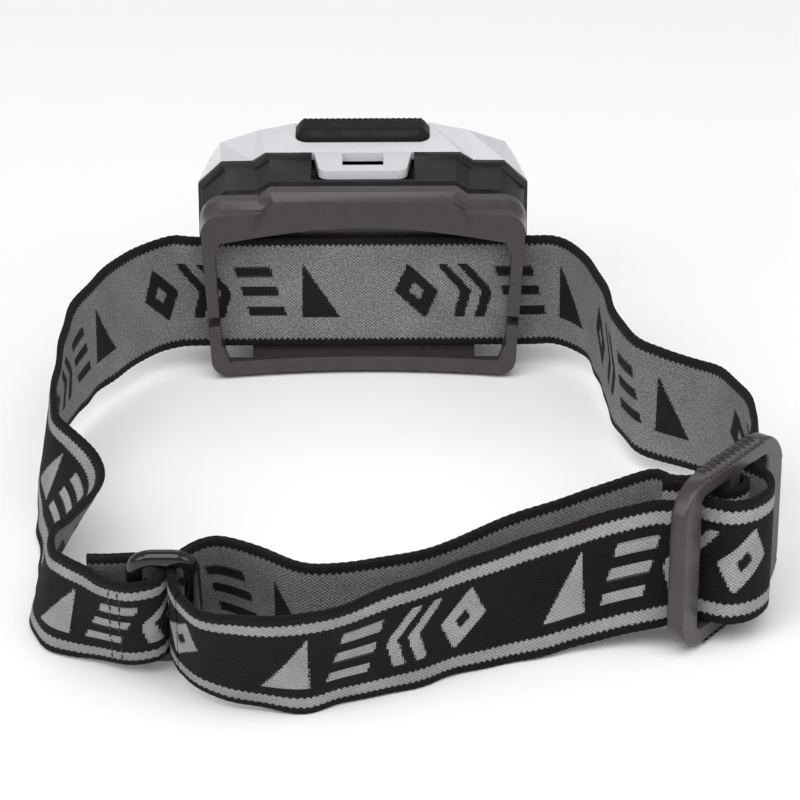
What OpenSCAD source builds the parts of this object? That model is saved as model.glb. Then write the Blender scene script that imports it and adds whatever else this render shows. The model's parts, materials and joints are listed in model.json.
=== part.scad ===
// Headlamp on an elastic head strap: tilting lamp case with a hinged front cover,
// strap bracket, strap ring and sliding strap adjuster.
// Frame: +Z up, the beam leaves towards -Y, the wearer's head is on the +Y side.
// Origin: on the bracket's flat foot, at the middle of the strap line.

/* [Lamp case] */
// Half width of the case at its widest
case_hw = 35.2; // [34:0.1:36]
// Height of the case's top face above the foot
case_top = 42; // [42:0.1:43]
// Underside of the case above the foot
case_low = 3.4; // [3.2:0.1:3.6]
// Wall thickness of the rear housing
wall = 1.8; // [1.6:0.1:2.0]
// Depth of the rear housing
housing_d = 15.5; // [15.4:0.1:16]
// Depth of the front cover
cover_d = 13.9; // [13.6:0.1:14.4]

/* [Latch tab and button] */
// Width of the latch tab where it leaves the cover
tab_w = 20.6; // [19.8:0.1:20.8]
// Length of the latch tab over the housing
tab_l = 10.8; // [10.4:0.1:11.5]
// Thickness of the latch tab
tab_t = 2; // [1.6:0.1:2]
// Width of the power button
button_w = 28.5; // [26:0.5:29]
// Depth of the power button
button_d = 7.8; // [7.2:0.1:8]
// Height of the button above the cover
button_h = 2.4; // [1.8:0.1:2.5]
// Travel of the power button
button_travel = 0.8; // [0.5:0.1:0.8]

/* [Batteries] */
// Diameter of one AAA cell
cell_d = 10.5; // [10.3:0.1:10.5]
// Length of one AAA cell
cell_l = 44.5; // [44:0.1:44.5]
// Pitch between the cells
cell_pitch = 10.7; // [10.6:0.1:10.7]

/* [Bracket] */
// Half width of the bracket at its top
bracket_hw = 34.2; // [33.8:0.1:34.3]
// Radius of the concave rear face
bracket_r = 160; // [150:5:180]
// Radius of the tilt hinge pin
tilt_pin_r = 1.2; // [1.0:0.05:1.2]
// Running clearance of both hinge pins
pin_gap = 0.05; // [0.02:0.01:0.08]

/* [Strap] */
// Width of the elastic webbing
strap_w = 25; // [24.5:0.1:25]
// Thickness of the elastic webbing
strap_t = 1.3; // [1.0:0.1:1.3]

/* [Slider and ring] */
// Height of the slider
slider_h = 35; // [34:0.5:36]
// Width of the slider along the strap
slider_l = 34.4; // [34:0.1:34.6]
// Thickness of the slider
slider_t = 3.4; // [3:0.1:3.4]
// Height of the strap ring
ring_h = 32; // [31:0.5:32]
// Width of the strap ring
ring_w = 13; // [12.5:0.1:13.2]
// Bar diameter of the strap ring
ring_bar = 3; // [2.6:0.1:3]

/* [Hidden] */
$fn = 48;

// the lamp's stations along Y: housing back, parting plane, cover front
y_back = -3;
y_part = y_back - housing_d;
y_cover = y_part - 0.1;
y_front = y_cover - cover_d;

// front edge of the button
button_y = -31.2;

// both hinges lie along X
tilt_y = -5.2;
tilt_z = 3;
hinge_y = y_part;
hinge_z = 2.2;

// cells lie along X, one above the other
cell_y = -11;
cell_z = 21.9;

// slider: centre and direction of its long axis in plan, towards the outer layer
slider_c = [-65.3, 112.6];
slider_dir = [0.6, 0.8];
slider_n = [-0.8, 0.6];
slider_strap_z = 4.6;

// ring: foot of its lower bar, and how far its top leans outwards
ring_c = [35, 126, 1.1];
ring_lean = 26;

black = [0.07, 0.07, 0.075];
bronze = [0.28, 0.26, 0.265];

// ---------- profiles ----------

// right half of the case outline, top to bottom: top flat, step, shoulder, slant, side
function case_half(hw, top, low, in) = [
    [hw - 14.4 - in / 2, top - in], [hw - 11.6 - in / 2, top - 1.8 - in],
    [hw - 5 - in / 2, top - 1.9 - in], [hw - in, top - 6.6 - in / 2],
    [hw - in, low + 6.6 + in / 2], [hw - 5 - in / 2, low + 1.9 + in],
    [hw - 11.6 - in / 2, low + 1.8 + in], [hw - 14.4 - in / 2, low + in]];

// the cover's front edge: narrower, with the corners drawn in
function nose_half() = [
    [14.5, case_top + 1.4], [22.6, case_top - 0.2], [31, case_top - 3],
    [33.4, case_top - 6.8], [33.4, case_low + 6.8], [31, case_low + 3],
    [22.6, case_low + 0.6], [14.5, case_low]];

// a closed outline from its right half
function both(h) = concat(h, [for (i = [len(h) - 1:-1:0]) [-h[i][0], h[i][1]]]);

// points of an arc
function arc(cx, cz, r, a0, a1, n) = [for (i = [0:n])
    let (a = a0 + (a1 - a0) * i / n) [cx + r * cos(a), cz + r * sin(a)]];

// half outline of the bracket, top to bottom
function bracket_half(in) = concat(
    [[19.4 - in / 2, 40.6 - in], [22 - in / 2, 38.8 - in]],
    arc(bracket_hw - 5.2 + 0.7 * in, 33.6, 5.2 - in, 80, 0, 6),
    arc(bracket_hw - 6.8 + 0.7 * in, 5.2 - 0.5 * in, 5.2 - in, 0, -90, 6));

// ---------- helpers ----------

// an extrusion of an XZ outline between two Y stations
module xz(y0, y1) {
    translate([0, y1, 0]) rotate([90, 0, 0]) linear_extrude(y1 - y0) children();
}

// a solid through symmetric XZ outlines with equal point counts; stations are
// [y, outline] in falling y, and each cap is cut into level strips
module loft(s) {
    n = len(s[0][1]);
    e = (len(s) - 1) * n;
    pts = [for (r = s) for (p = r[1]) [p[0], r[0], p[1]]];
    cap0 = [for (i = [0:n / 2 - 2]) let (m = n - 1 - i)
        each [[i, m, m - 1], [i, m - 1, i + 1]]];
    cap1 = [for (i = [0:n / 2 - 2]) let (m = n - 1 - i)
        each [[e + i, e + m - 1, e + m], [e + i, e + i + 1, e + m - 1]]];
    sides = [for (j = [0:len(s) - 2]) for (i = [0:n - 1])
        let (a = j * n + i, b = j * n + (i + 1) % n)
        each [[a, b + n, a + n], [a, b, b + n]]];
    polyhedron(pts, concat(cap0, sides, cap1), convexity = 6);
}

// a box from its two corners
module block(a, b) {
    translate(a) cube(b - a);
}

// a mirrored pair about the YZ plane
module pair() {
    children();
    mirror([1, 0, 0]) children();
}

// a rod along X between two stations
module rod(x0, x1, y, z, r) {
    translate([x0, y, z]) rotate([0, 90, 0]) cylinder(r = r, h = x1 - x0);
}

// a rod along Y between two stations
module peg(x, z, y0, y1, r) {
    translate([x, y1, z]) rotate([90, 0, 0]) cylinder(r = r, h = y1 - y0);
}

// a rectangle with round corners
module slab(w, h, r) {
    square([w - 2 * r, h], center = true);
    square([w, h - 2 * r], center = true);
    for (x = [-1, 1]) for (z = [-1, 1])
        translate([x * (w / 2 - r), z * (h / 2 - r)]) circle(r);
}

// ---------- strap route ----------

// Catmull-Rom between the middle two of four stations
function cr(a, b, c, d, t) = 0.5 * (2 * b + (c - a) * t
    + (2 * a - 5 * b + 4 * c - d) * t * t + (3 * b - a - 3 * c + d) * t * t * t);

// stations through all points, k to a span; each is [x, y, z] below and [x, y] above
function route(p, k) = let (n = len(p)) [
    for (i = [0:n - 2]) for (j = [0:(i == n - 2 ? k : k - 1)])
    cr(p[max(i - 1, 0)], p[i], p[i + 1], p[min(i + 2, n - 1)], j / k)];

// the lower and upper edge points of a station, one strap width apart
function edge_lo(s) = [s[0], s[1], s[2]];
function edge_hi(s) = [s[3], s[4],
    s[2] + sqrt(strap_w * strap_w - pow(s[3] - s[0], 2) - pow(s[4] - s[1], 2))];
function unit(v) = v / norm(v);

// a strap along a route, as a ruled band of constant width and thickness
module band(p, k) {
    s = route(p, k);
    n = len(s);
    lo = [for (q = s) edge_lo(q)];
    hi = [for (q = s) edge_hi(q)];
    mid = (lo + hi) / 2;
    nrm = [for (i = [0:n - 1]) unit(cross(
        mid[min(i + 1, n - 1)] - mid[max(i - 1, 0)], hi[i] - lo[i])) * strap_t / 2];
    pts = [for (i = [0:n - 1]) each
        [lo[i] - nrm[i], lo[i] + nrm[i], hi[i] + nrm[i], hi[i] - nrm[i]]];
    sides = [for (i = [0:n - 2]) for (j = [0:3])
        let (a = 4 * i + j, b = 4 * i + (j + 1) % 4)
        each [[a, b, b + 4], [a, b + 4, a + 4]]];
    e = 4 * (n - 1);
    polyhedron(pts, concat([[3, 2, 1], [3, 1, 0]], sides,
        [[e, e + 1, e + 2], [e, e + 2, e + 3]]), convexity = 10);
}

// a strap station beside the slider: s along it, n outwards from its middle plane
function at(s, n) = let (p = slider_c + s * slider_dir + n * slider_n)
    [p[0], p[1], slider_strap_z, p[0], p[1]];

// sewn fold on the ring, left side, through the bracket, right side, under the slider
front_route = [
    [49, 122.5, 2, 48.6, 131.8], [45, 122.8, 3, 44.6, 133],
    [40, 123.8, 4.2, 39.2, 134.5], [37.4, 124.6, 4.2, 36.6, 135.6],
    [35.7, 126.9, 4.4, 35, 137.8], [36.3, 129.1, 3.3, 35.5, 140.1],
    [38.5, 129.9, 2.6, 37.4, 141], [42.5, 128.9, 1.7, 41.4, 140.2],
    [48, 125.4, 0.8, 46, 136.4], [53, 123.5, 0.3, 49, 132.5],
    [57.5, 120.5, 0, 52.6, 128.5], [60, 115, 0, 55, 124.3],
    [61, 108.5, 0, 55.5, 116.5], [61, 102, 0, 53, 110],
    [61, 95, 0, 50, 102], [61.5, 88, 0, 48.7, 92],
    [62, 82, 0.5, 50, 86], [63, 73, 0.5, 54.5, 78.5],
    [63.5, 65, 1, 58.9, 72.5], [63.8, 58, 1.5, 59.8, 64.5],
    [63, 49, 2.8, 59.5, 55], [61, 40, 4.2, 59.6, 45],
    [58.5, 31, 4.6, 58.6, 34.5], [55.5, 23, 4.8, 55.8, 22.5],
    [50.5, 13, 5, 52, 12.5], [45.5, 5.5, 5.1, 46.8, 4.5],
    [40, 0.8, 5.2, 40.5, -1.2], [34, 0, 5.3, 34, 0],
    [12, 0, 5.3, 12, 0], [-12, 0, 5.3, -12, 0],
    [-34, 0, 5.3, -34, 0], [-40.5, -0.2, 5.3, -40.3, 0.6],
    [-45.5, 4, 5.2, -44.5, 5.5], [-48.5, 12, 5.1, -46.8, 13],
    [-50, 26, 4.6, -49.5, 28], [-51.5, 38, 3.8, -51, 40],
    [-54, 47, 3.5, -54, 48], [-58.5, 51.5, 3.2, -58.5, 52.5],
    [-65, 56, 3.2, -65, 58], [-71, 62.5, 3.5, -69.5, 63.5],
    [-75, 71, 4, -72.5, 72.5], [-76, 82, 4.3, -73, 83.5],
    [-74.2, 92, 4.5, -72, 93], at(-13.4, -2.9), at(-10.5, -3.1), at(-8.5, -2.2)];

// the bulge over the slider's middle bar
loop_route = [at(-8.3, -1.3), at(-7.9, 1.6), at(-6.6, 4.8), at(-2.2, 7.5),
    at(3, 7.6), at(6.6, 5.4), at(7.7, 2.2), at(7.9, -0.8)];

// from under the slider round the back to the ring
outer_route = [at(8.1, -1.3), at(9.4, -2.9), at(12.4, -3),
    [-51.6, 121.6, 4, -50.8, 119.6], [-42.6, 121.6, 2, -41.9, 120.7],
    [-33.5, 124.4, 0.5, -32.9, 123.6], [-24.4, 126.8, 0, -23.9, 129.2],
    [-15.3, 131, 0, -15, 134.9], [-6.4, 136, 0, -6.2, 141.3],
    [4.2, 140.1, 0, 4.1, 147.9], [11.2, 143.2, 0, 10.9, 151],
    [20, 142.5, 1, 19.3, 152.4], [28.4, 138.7, 2, 27.6, 150.4],
    [32.4, 133.4, 2.4, 31.8, 145]];

// round the ring's bar and back inside, ending in the sewn fold on the middle bar
inner_route = [[32.6, 133, 2.4, 32, 144.6], [33.8, 129.6, 3.2, 33.3, 140.9],
    [33.8, 126.8, 4.6, 33.3, 137.4],
    [32, 123.6, 4.4, 31.4, 133.6], [29, 122.4, 4.4, 28.4, 131.2],
    [25, 122, 3.5, 24.9, 129.5], [18, 125.3, 2, 18.2, 131.5],
    [11, 131, 0.8, 11.1, 135.5], [5, 133.3, 0, 5, 134.8],
    [-6.4, 131, 0, -6.3, 132], [-15.4, 126, 0, -15.2, 126.7],
    [-24.6, 120.4, 0.5, -24.2, 119.6], [-33.8, 115.6, 1.5, -33.3, 114.9],
    [-43, 112, 3, -42.5, 111.5], [-52.4, 108.2, 4.2, -51.8, 107.6],
    at(4.3, -9), at(2, -5.6), at(-0.4, -3.4), at(-2.8, -2.6), at(-3.5, 0),
    at(-2.5, 2.4), at(0.4, 3.1), at(3, 2), at(3.9, -1.2), at(4.9, -4.4),
    at(6, -7.4), at(6.9, -9.4)];

// ---------- bracket and tilt hinge ----------

module bracket() {
    color(bronze) difference() {
        union() {
            loft([[8, both(bracket_half(1.5))], [2.4, both(bracket_half(1.5))],
                  [0.8, both(bracket_half(0))], [-2.5, both(bracket_half(0))]]);
            for (x = [[-23, -20], [-10, 10], [20, 23]]) {
                rod(x[0], x[1], tilt_y, tilt_z, 2.4);
                block([x[0], tilt_y, 0.6], [x[1], -2.5, 4.6]);
            }
        }
        // concave face against the forehead
        translate([0, bracket_r + 3, -1]) cylinder(r = bracket_r, h = 60, $fn = 180);
        // straight channel for the strap
        block([-40, -0.9, 4.6], [40, 0.9, 31.2]);
        // window between the uprights, with an arched top
        xz(-0.8, 9) polygon(concat([[-30, 8], [-28.4, 3.9], [28.4, 3.9], [30, 8]],
            [[31, 28], [29.8, 31], [22, 31.9], [11, 33], [0, 33.4], [-11, 33],
             [-22, 31.9], [-29.8, 31], [-31, 28]]));
        // slits that let the strap into the channel
        pair() block([29, -0.8, 12.3], [36, 9, 14.4]);
        // corner openings through the back plate and the foot bar's front part
        pair() block([23.6, -3, 1.4], [29.4, 3, 9]);
        rod(-24, 24, tilt_y, tilt_z, tilt_pin_r);
    }
}

module tilt_pin() {
    color("silver") rod(-23, 23, tilt_y, tilt_z, tilt_pin_r);
}

// ---------- rear half of the case ----------

module rear_housing() {
    color(black) difference() {
        union() {
            loft([[y_back, both(case_half(case_hw - 2.6, case_top - 2.4, case_low + 1.4, 0))],
                  [y_back - 1.6, both(case_half(case_hw - 1.4, case_top - 1.2, case_low + 0.6, 0))],
                  [y_part + 2.4, both(case_half(case_hw - 0.8, case_top - 0.7, case_low + 0.3, 0))],
                  [y_part + 1.6, both(case_half(case_hw, case_top, case_low, 0))],
                  [y_part, both(case_half(case_hw, case_top, case_low, 0))]]);
            pair() rod(10.2, 19.8, tilt_y, tilt_z, 2.4);
            pair() rod(6, 12, hinge_y, hinge_z, 1.8);
            pair() block([6, hinge_y, 0.9], [12, hinge_y + 1.8, 4.6]);
        }
        // battery space, open to the front
        difference() {
            xz(y_part - 1, y_back - wall) polygon(both([[19.6, 38], [27.8, 38],
                [33, 33.6], [33, 11], [28, 7], [21, 5.7]]));
            block([-40, -8.2, 0], [40, 0, 6.5]);
        }
        // groove for the seal
        xz(y_part - 1, y_part + 0.7) difference() {
            polygon(both(case_half(case_hw, case_top, case_low, 0.6)));
            polygon(both(case_half(case_hw, case_top, case_low, 1.4)));
        }
        // recess under the latch tab
        block([-tab_w / 2 - 0.6, y_part - 1, 39.3], [tab_w / 2 + 0.6, -5.6, 50]);
        // room for the bracket's hinge knuckles
        for (x = [[-23.4, -19.8], [-10.2, 10.2], [19.8, 23.4]])
            block([x[0], -8, -1], [x[1], 0, 5.8]);
        // room for the cover's knuckle
        block([-6, y_part - 3, -1], [6, y_part + 2.3, 4.5]);
        pair() block([12, y_part - 3, -1], [13, y_part, 4.5]);
        rod(-24, 24, tilt_y, tilt_z, tilt_pin_r + pin_gap);
        rod(-14, 14, hinge_y, hinge_z, 0.8);
    }
    // ramp of the latch
    color(black) xz(-12, -10.2) polygon([[-3.2, 39.3], [3.2, 39.3], [2.8, 39.8], [-2.8, 39.8]]);
}

module battery_tray() {
    color(black) {
        block([-25.4, y_back - wall - 0.75, 8], [25.4, y_back - wall - 0.05, 36]);
        pair() block([24.2, -17, 8], [25.4, y_back - wall - 0.75, 36]);
    }
}

module cell(i) {
    z = cell_z + i * cell_pitch;
    flip = (i == 0) ? -1 : 1;
    scale([flip, 1, 1]) {
        color([0.5, 0.42, 0.2]) rod(-cell_l / 2 + 0.4, cell_l / 2 - 1.2, cell_y, z, cell_d / 2);
        color("silver") rod(cell_l / 2 - 1.2, cell_l / 2, cell_y, z, 1.9);
        color("silver") rod(-cell_l / 2, -cell_l / 2 + 0.4, cell_y, z, 4);
    }
}
module battery_top() { cell(1); }
module battery_middle() { cell(0); }
module battery_bottom() { cell(-1); }

module contact_plates() {
    color("silver") for (i = [-1:1]) {
        z = cell_z + i * cell_pitch;
        s = (i == 0) ? -1 : 1;
        for (x = [-1, 1]) block([x * 24 - 0.2, cell_y - 4, z - 4.2], [x * 24 + 0.2, cell_y + 4, z + 4.2]);
        scale([s, 1, 1]) rod(22.25, 23.8, cell_y, z, 1.4);
    }
}

// one conical contact spring along X, as a swept helix
module coil(y, z) {
    turns = 2.6;
    n = 40;
    m = 6;
    pts = [for (i = [0:n]) let (a = 360 * turns * i / n, r = 2.2 + 1.2 * i / n, x = 1.15 * i / n)
        for (j = [0:m - 1]) let (b = 360 * j / m, q = r + 0.22 * cos(b))
        [x + 0.22 * sin(b), q * cos(a), q * sin(a)]];
    sides = [for (i = [0:n - 1]) for (j = [0:m - 1])
        let (a = i * m + j, b = i * m + (j + 1) % m)
        each [[a, b + m, b], [a, a + m, b + m]]];
    caps = [for (j = [1:m - 2]) each [[0, j, j + 1], [n * m, n * m + j + 1, n * m + j]]];
    translate([22.5, y, z]) polyhedron(pts, concat(sides, caps), convexity = 8);
}

module contact_springs() {
    color("silver") for (i = [-1:1]) scale([(i == 0) ? 1 : -1, 1, 1])
        coil(cell_y, cell_z + i * cell_pitch);
}

module cover_seal() {
    color([0.12, 0.12, 0.12]) xz(y_part - 0.05, y_part + 0.65) difference() {
        polygon(both(case_half(case_hw, case_top, case_low, 0.7)));
        polygon(both(case_half(case_hw, case_top, case_low, 1.3)));
        // the recess under the latch and the knuckle's cut interrupt it
        translate([-tab_w / 2 - 1, 38.6]) square([tab_w + 2, 6]);
        translate([-14, 0]) square([28, 5.2]);
    }
}

module cover_hinge_pin() {
    color("silver") rod(-12, 12, hinge_y, hinge_z, 0.8);
}

// ---------- front cover ----------

// the button's outline in plan, grown by g, with round corners at the back
module button_plan(g) {
    x = button_w / 2 - 2.5;
    y = button_y + button_d - 2.5;
    polygon(concat([[-x - 2.5 - g, button_y - g], [x + 2.5 + g, button_y - g]],
        arc(x, y, 2.5 + g, 0, 90, 6), arc(-x, y, 2.5 + g, 90, 180, 6)));
}

// a child at each of the cover's four screws
module posts() {
    for (x = [-29, 29]) for (z = [10.9, 34.3]) translate([x, 0, z]) children();
}

module front_cover() {
    color([0.93, 0.93, 0.95]) {
        difference() {
            union() {
                loft([[y_cover, both(case_half(case_hw, case_top, case_low, 0))],
                      [y_front, both(nose_half())]]);
                rod(-5.8, 5.8, hinge_y, hinge_z, 1.8);
                block([-5.8, hinge_y - 1.8, 0.9], [5.8, hinge_y, 5]);
            }
            // inner space
            xz(y_front + 1.8, y_cover + 1) polygon(both([[18, 40.2], [27.6, 38.2],
                [31.6, 34.6], [31.6, 10.8], [27.6, 7.2], [18, 5.4]]));
            // front window and the button's hole
            xz(y_front - 1, y_front + 3) translate([0, 22.5]) slab(56, 25, 5);
            translate([0, 0, 38.8]) linear_extrude(12) button_plan(0.2);
            // room for the housing's knuckles
            pair() block([5.9, hinge_y - 2.3, -1], [12.2, hinge_y + 1, 4.5]);
            rod(-14, 14, hinge_y, hinge_z, 0.8 + pin_gap);
        }
        // screw posts
        posts() difference() {
            peg(0, 0, y_front + 1.7, y_cover - 2, 2.2);
            peg(0, 0, y_front + 4, y_cover, 0.85);
        }
    }
    // latch tab over the housing, with its slot
    color([0.93, 0.93, 0.95]) translate([0, 0, case_top - tab_t]) difference() {
        linear_extrude(tab_t) polygon(concat(
            [[-tab_w / 2, y_cover - 2], [tab_w / 2, y_cover - 2]],
            [[tab_w / 2, y_cover + 1], [tab_w / 2 - 0.9, y_cover + tab_l - 2.2]],
            arc(tab_w / 2 - 3.1, y_cover + tab_l - 2.2, 2.2, 10, 90, 5),
            arc(-tab_w / 2 + 3.1, y_cover + tab_l - 2.2, 2.2, 90, 170, 5),
            [[-tab_w / 2 + 0.9, y_cover + tab_l - 2.2], [-tab_w / 2, y_cover + 1]]));
        translate([-4.35, y_cover + 0.4, -1]) cube([8.7, 7.1, tab_t + 2]);
    }
}

module front_lens() {
    color([0.8, 0.85, 0.9, 0.4]) {
        difference() {
            xz(y_front + 1.85, y_front + 2.9) translate([0, 22.5]) slab(58.6, 27.2, 5);
            posts() peg(0, 0, y_front, y_front + 4, 2.4);
        }
        xz(y_front + 0.5, y_front + 1.85) translate([0, 22.5]) slab(52.6, 21.6, 3.6);
    }
}

module lens_frame() {
    color(black) xz(y_front - 0.5, y_front + 1.8) translate([0, 22.5]) difference() {
        slab(55.8, 24.8, 4.9);
        slab(53, 22, 3.8);
    }
}

module reflector() {
    color([0.85, 0.85, 0.87]) difference() {
        xz(y_front + 3, y_front + 8.6) translate([0, 22.5]) slab(52, 24, 3);
        // dish of the main lamp and of each side lamp, wide end forward
        translate([0, y_front + 2.9, 22.5]) rotate([-90, 0, 0]) cylinder(r1 = 11, r2 = 3.8, h = 5.8);
        pair() translate([18.8, y_front + 2.9, 22.5]) rotate([-90, 0, 0])
            cylinder(r1 = 6.2, r2 = 2.4, h = 5.8);
    }
}

module main_led() {
    color([0.95, 0.9, 0.5]) block([-2.5, y_front + 7.8, 20], [2.5, y_front + 8.65, 25]);
}

module side_leds() {
    color([0.9, 0.9, 0.8]) pair() block([17.3, y_front + 7.8, 21], [20.3, y_front + 8.65, 24]);
}

module circuit_board() {
    color([0.1, 0.35, 0.2]) difference() {
        xz(y_front + 8.7, y_front + 9.7) translate([0, 22.5]) slab(60, 26, 1);
        posts() peg(0, 0, y_front + 8, y_front + 10, 2.6);
    }
}

module switch_board() {
    color([0.1, 0.35, 0.2]) block([-12, -30.5, 36.5], [12, -23.6, 37.3]);
}

module tact_switch() {
    color(black) block([-3, -29.8, 37.3], [3, -23.8, 38]);
    // its plunger just clears the button's flange at the end of the button's travel
    color("silver") translate([0, -26.8, 38]) cylinder(r = 1.6, h = 1.35 - button_travel);
}

module rear_plate() {
    color(black) difference() {
        xz(y_cover - 1.9, y_cover - 0.5) translate([0, 22.5]) slab(61, 27.4, 3);
        posts() peg(0, 0, y_cover - 3, y_cover, 1.05);
    }
}

module cover_screws() {
    color("silver") posts() difference() {
        union() {
            peg(0, 0, y_cover - 8, y_cover - 0.4, 0.84);
            peg(0, 0, y_cover - 0.5, y_cover - 0.1, 1.6);
        }
        block([-0.9, y_cover - 0.3, -0.16], [0.9, y_cover + 1, 0.16]);
        block([-0.16, y_cover - 0.3, -0.9], [0.16, y_cover + 1, 0.9]);
    }
}

module power_button() {
    y1 = button_y + button_d;
    zt = case_top + 0.8 + button_h;
    color([0.06, 0.06, 0.06]) {
        // cap with sloped sides
        hull() {
            translate([0, 0, 39.8]) linear_extrude(zt - 41.7) button_plan(0);
            block([-button_w / 2 + 1.6, button_y, zt - 2], [button_w / 2 - 1.6, y1 - 1.6, zt]);
        }
        // flange that keeps it in the cover
        block([-button_w / 2 - 0.9, button_y + 0.7, 39.4], [button_w / 2 + 0.9, y1 + 0.8, 39.9]);
    }
}

// ---------- strap hardware ----------

module strap_ring() {
    color([0.05, 0.05, 0.055]) translate(ring_c) rotate([-ring_lean, 0, 0])
        xz(-ring_bar / 2, ring_bar / 2) translate([0, ring_h / 2]) difference() {
            slab(ring_w, ring_h, 4.5);
            slab(ring_w - 2 * ring_bar, ring_h - 2 * ring_bar, 1.5);
        }
}

module strap_slider() {
    a = atan2(slider_dir[1], slider_dir[0]);
    color(bronze) translate([slider_c[0], slider_c[1], slider_h / 2]) rotate([0, 0, a])
        xz(-slider_t / 2, slider_t / 2) difference() {
            union() {
                slab(slider_l, slider_h - 1.2, 8);
                // grip ridges on both short ends
                for (i = [-5:5]) for (z = [-1, 1])
                    translate([i * 1.65, z * (slider_h / 2 - 0.85)]) circle(0.65);
                square([18, slider_h - 1.6], center = true);
            }
            for (x = [-1, 1]) translate([x * 6.45, 0]) slab(9.5, 26.6, 1.2);
        }
}

// ---------- strap ----------

module band_front() { color([0.35, 0.36, 0.36]) band(front_route, 3); }
module band_loop() { color([0.2, 0.2, 0.2]) band(loop_route, 3); }
module band_outer() { color([0.16, 0.15, 0.15]) band(outer_route, 4); }
module band_inner() { color([0.4, 0.41, 0.41]) band(inner_route, 3); }

bracket();
tilt_pin();
rear_housing();
battery_tray();
battery_top();
battery_middle();
battery_bottom();
contact_plates();
contact_springs();
cover_seal();
cover_hinge_pin();
front_cover();
front_lens();
lens_frame();
reflector();
main_led();
side_leds();
circuit_board();
switch_board();
tact_switch();
rear_plate();
cover_screws();
power_button();
strap_ring();
strap_slider();
band_front();
band_loop();
band_outer();
band_inner();
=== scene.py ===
import json
import math

import bmesh
import bpy
import numpy as np
from mathutils import Matrix, Vector


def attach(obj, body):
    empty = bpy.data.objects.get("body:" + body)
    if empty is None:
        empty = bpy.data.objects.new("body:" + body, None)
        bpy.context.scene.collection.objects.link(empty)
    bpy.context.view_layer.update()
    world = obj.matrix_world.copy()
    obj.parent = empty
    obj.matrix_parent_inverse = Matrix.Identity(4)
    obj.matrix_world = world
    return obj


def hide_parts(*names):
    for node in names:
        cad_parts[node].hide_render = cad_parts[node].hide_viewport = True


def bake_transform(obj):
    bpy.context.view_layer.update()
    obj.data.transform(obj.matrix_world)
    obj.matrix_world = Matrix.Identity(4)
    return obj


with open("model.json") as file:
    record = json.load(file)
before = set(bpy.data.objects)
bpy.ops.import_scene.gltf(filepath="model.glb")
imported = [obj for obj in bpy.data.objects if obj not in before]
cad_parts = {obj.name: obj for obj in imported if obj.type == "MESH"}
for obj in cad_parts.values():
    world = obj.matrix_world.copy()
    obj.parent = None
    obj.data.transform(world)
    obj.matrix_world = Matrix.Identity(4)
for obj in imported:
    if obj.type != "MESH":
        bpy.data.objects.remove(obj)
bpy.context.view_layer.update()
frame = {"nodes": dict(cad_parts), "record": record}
MM = 0.001
TAU = 2 * math.pi

BODY = {n: b for b, ns in frame["record"]["behaviour"]["bodies"].items() for n in ns}


# ---------------------------------------------------------------- node materials


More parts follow.
